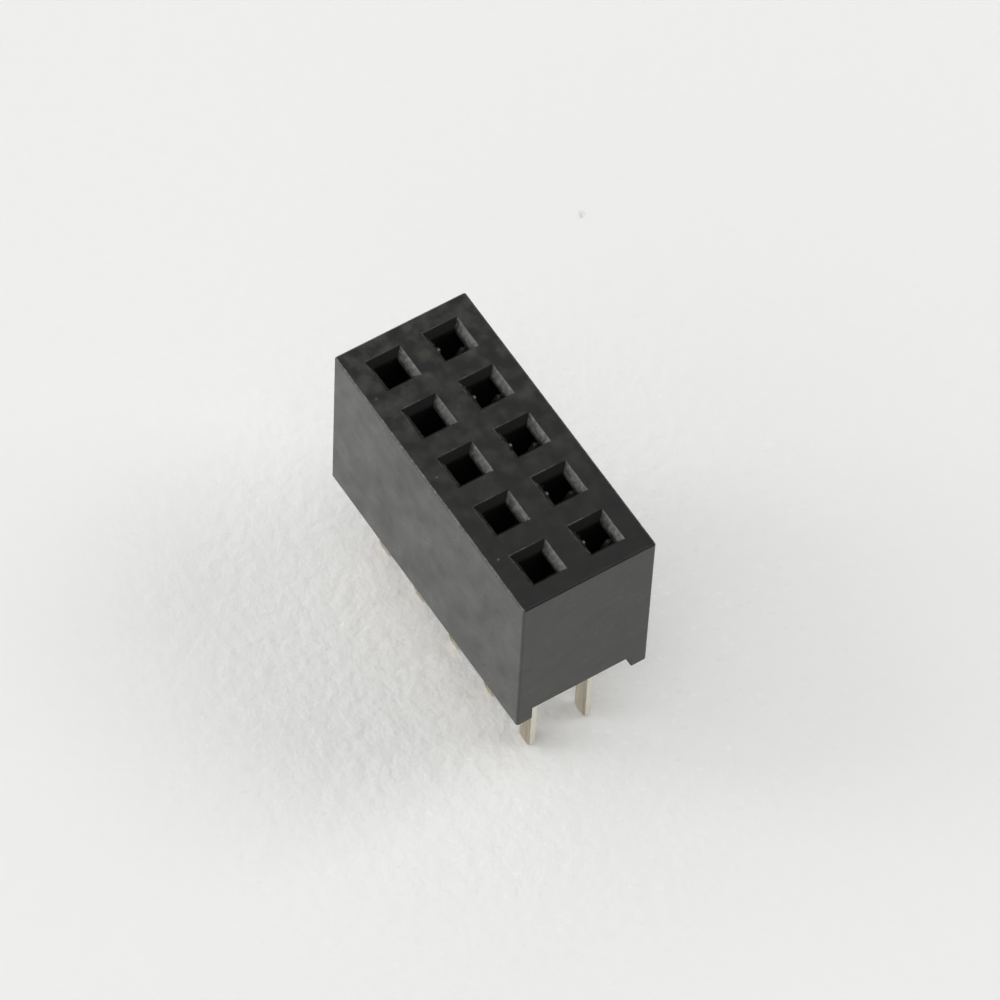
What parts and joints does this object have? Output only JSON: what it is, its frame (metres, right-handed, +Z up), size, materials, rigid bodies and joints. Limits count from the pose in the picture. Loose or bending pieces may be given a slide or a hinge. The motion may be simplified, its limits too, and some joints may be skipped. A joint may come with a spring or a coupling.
{
  "type": "female pin header strip",
  "caption": "Dual-row vertical female header: a black moulded housing with square sockets, twin-beam spring contacts and straight solder tails for a circuit board.",
  "frame": {"origin": "middle of the tail grid in the plane of the circuit board, which is the underside of the two rails", "axes": "+X along the rows, +Y across the rows, +Z up from the board to the mating face"},
  "size_m": [0.0104, 0.0046, 0.0098],
  "materials": {
    "housing": "black glass-filled moulding, faintly mottled and matt",
    "contact": "stamped phosphor bronze with pale tin plating, slightly warm"
  },
  "bodies": {
    "root": {"housing": "housing", "contact_a1": "contact", "contact_a2": "contact", "contact_a3": "contact", "contact_a4": "contact", "contact_a5": "contact", "contact_b1": "contact", "contact_b2": "contact", "contact_b3": "contact", "contact_b4": "contact", "contact_b5": "contact"}
  },
  "joints": []
}
